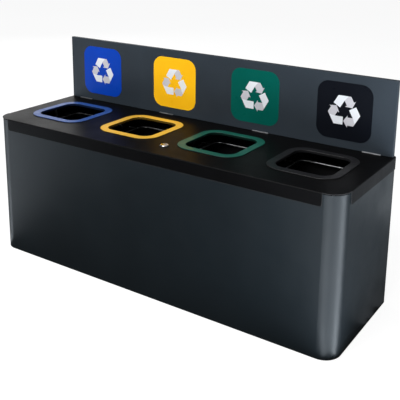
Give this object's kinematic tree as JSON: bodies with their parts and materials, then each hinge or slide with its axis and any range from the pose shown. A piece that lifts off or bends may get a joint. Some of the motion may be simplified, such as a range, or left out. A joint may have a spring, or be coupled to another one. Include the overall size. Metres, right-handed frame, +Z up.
{
  "type": "recycling bin station",
  "caption": "Long low sheet-steel waste station: rounded body, hinged lid with ringed square throw openings, rear sign panel, lift-out liners and a cam lock.",
  "frame": {"origin": "middle of the footprint, on the floor", "axes": "+X along the length to the right, +Y from front to back, +Z up"},
  "size_m": [1.4, 0.441, 0.778],
  "materials": {
    "body_paint": "fine-texture powder coat, anthracite, satin",
    "lid_paint": "fine-texture powder coat, black, satin",
    "panel_paint": "fine-texture powder coat, anthracite, satin",
    "ring_blue": "moulded, satin",
    "ring_yellow": "moulded, satin",
    "ring_green": "moulded, satin",
    "ring_black": "moulded, satin",
    "sticker_blue": "vinyl film",
    "sticker_yellow": "vinyl film",
    "sticker_green": "vinyl film",
    "sticker_black": "vinyl film",
    "symbol_white": "vinyl film",
    "zinc": "zinc plated",
    "chrome": "polished",
    "rubber": "moulded",
    "nylon": "moulded",
    "liner_plastic": "moulded polypropylene, fine grain"
  },
  "bodies": {
    "body": {"body_shell": "body_paint", "rear_panel": "body_paint", "rear_panel_rivets": "zinc", "base_plate": "body_paint", "feet": "rubber", "foot_screws": "zinc", "front_rail": "body_paint", "lock_keeper": "body_paint", "lid_buffers": "rubber", "support_rails": "body_paint", "liner_stops": "body_paint", "hinge_body_leaf": "zinc", "hinge_pin": "zinc", "hinge_rivets_body": "zinc", "stay_guides": "nylon"},
    "lid": {"hinge_lid_leaf": "zinc", "hinge_rivets_lid": "zinc", "lid": "lid_paint", "lock_housing": "chrome", "lock_nut": "zinc", "panel_back": "panel_paint", "panel_back_screws": "zinc", "panel_bolts": "zinc", "panel_clips": "zinc", "panel_nuts": "zinc", "panel_posts": "zinc", "ring_black": "ring_black", "ring_blue": "ring_blue", "ring_green": "ring_green", "ring_yellow": "ring_yellow", "sign_panel": "panel_paint", "stay_left": "zinc", "stay_right": "zinc", "sticker_black": "sticker_black", "sticker_blue": "sticker_blue", "sticker_green": "sticker_green", "sticker_yellow": "sticker_yellow", "symbols": "symbol_white"},
    "lock": {"lock_plug": "chrome", "lock_cam": "zinc", "cam_screw": "zinc"},
    "bin_1": {"liner_1": "liner_plastic", "bag_hoop_1": "zinc"},
    "bin_2": {"liner_2": "liner_plastic", "bag_hoop_2": "zinc"},
    "bin_3": {"liner_3": "liner_plastic", "bag_hoop_3": "zinc"},
    "bin_4": {"liner_4": "liner_plastic", "bag_hoop_4": "zinc"}
  },
  "joints": [
    {"name": "lid_hinge", "type": "hinge", "parent": "body", "child": "lid", "pos_m": [0, 0.214, 0.518], "axis": [-1, 0, 0], "range_deg": [0, 72]},
    {"name": "lock_turn", "type": "hinge", "parent": "lid", "child": "lock", "pos_m": [0.026, -0.1365, 0.526], "axis": [0, 0, 1], "range_deg": [0, 90]},
    {"name": "bin_1_lift", "type": "slide", "parent": "body", "child": "bin_1", "axis": [0, 0, 1], "range_m": [0, 0.02]},
    {"name": "bin_2_lift", "type": "slide", "parent": "body", "child": "bin_2", "axis": [0, 0, 1], "range_m": [0, 0.02]},
    {"name": "bin_3_lift", "type": "slide", "parent": "body", "child": "bin_3", "axis": [0, 0, 1], "range_m": [0, 0.02]},
    {"name": "bin_4_lift", "type": "slide", "parent": "body", "child": "bin_4", "axis": [0, 0, 1], "range_m": [0, 0.02]}
  ]
}
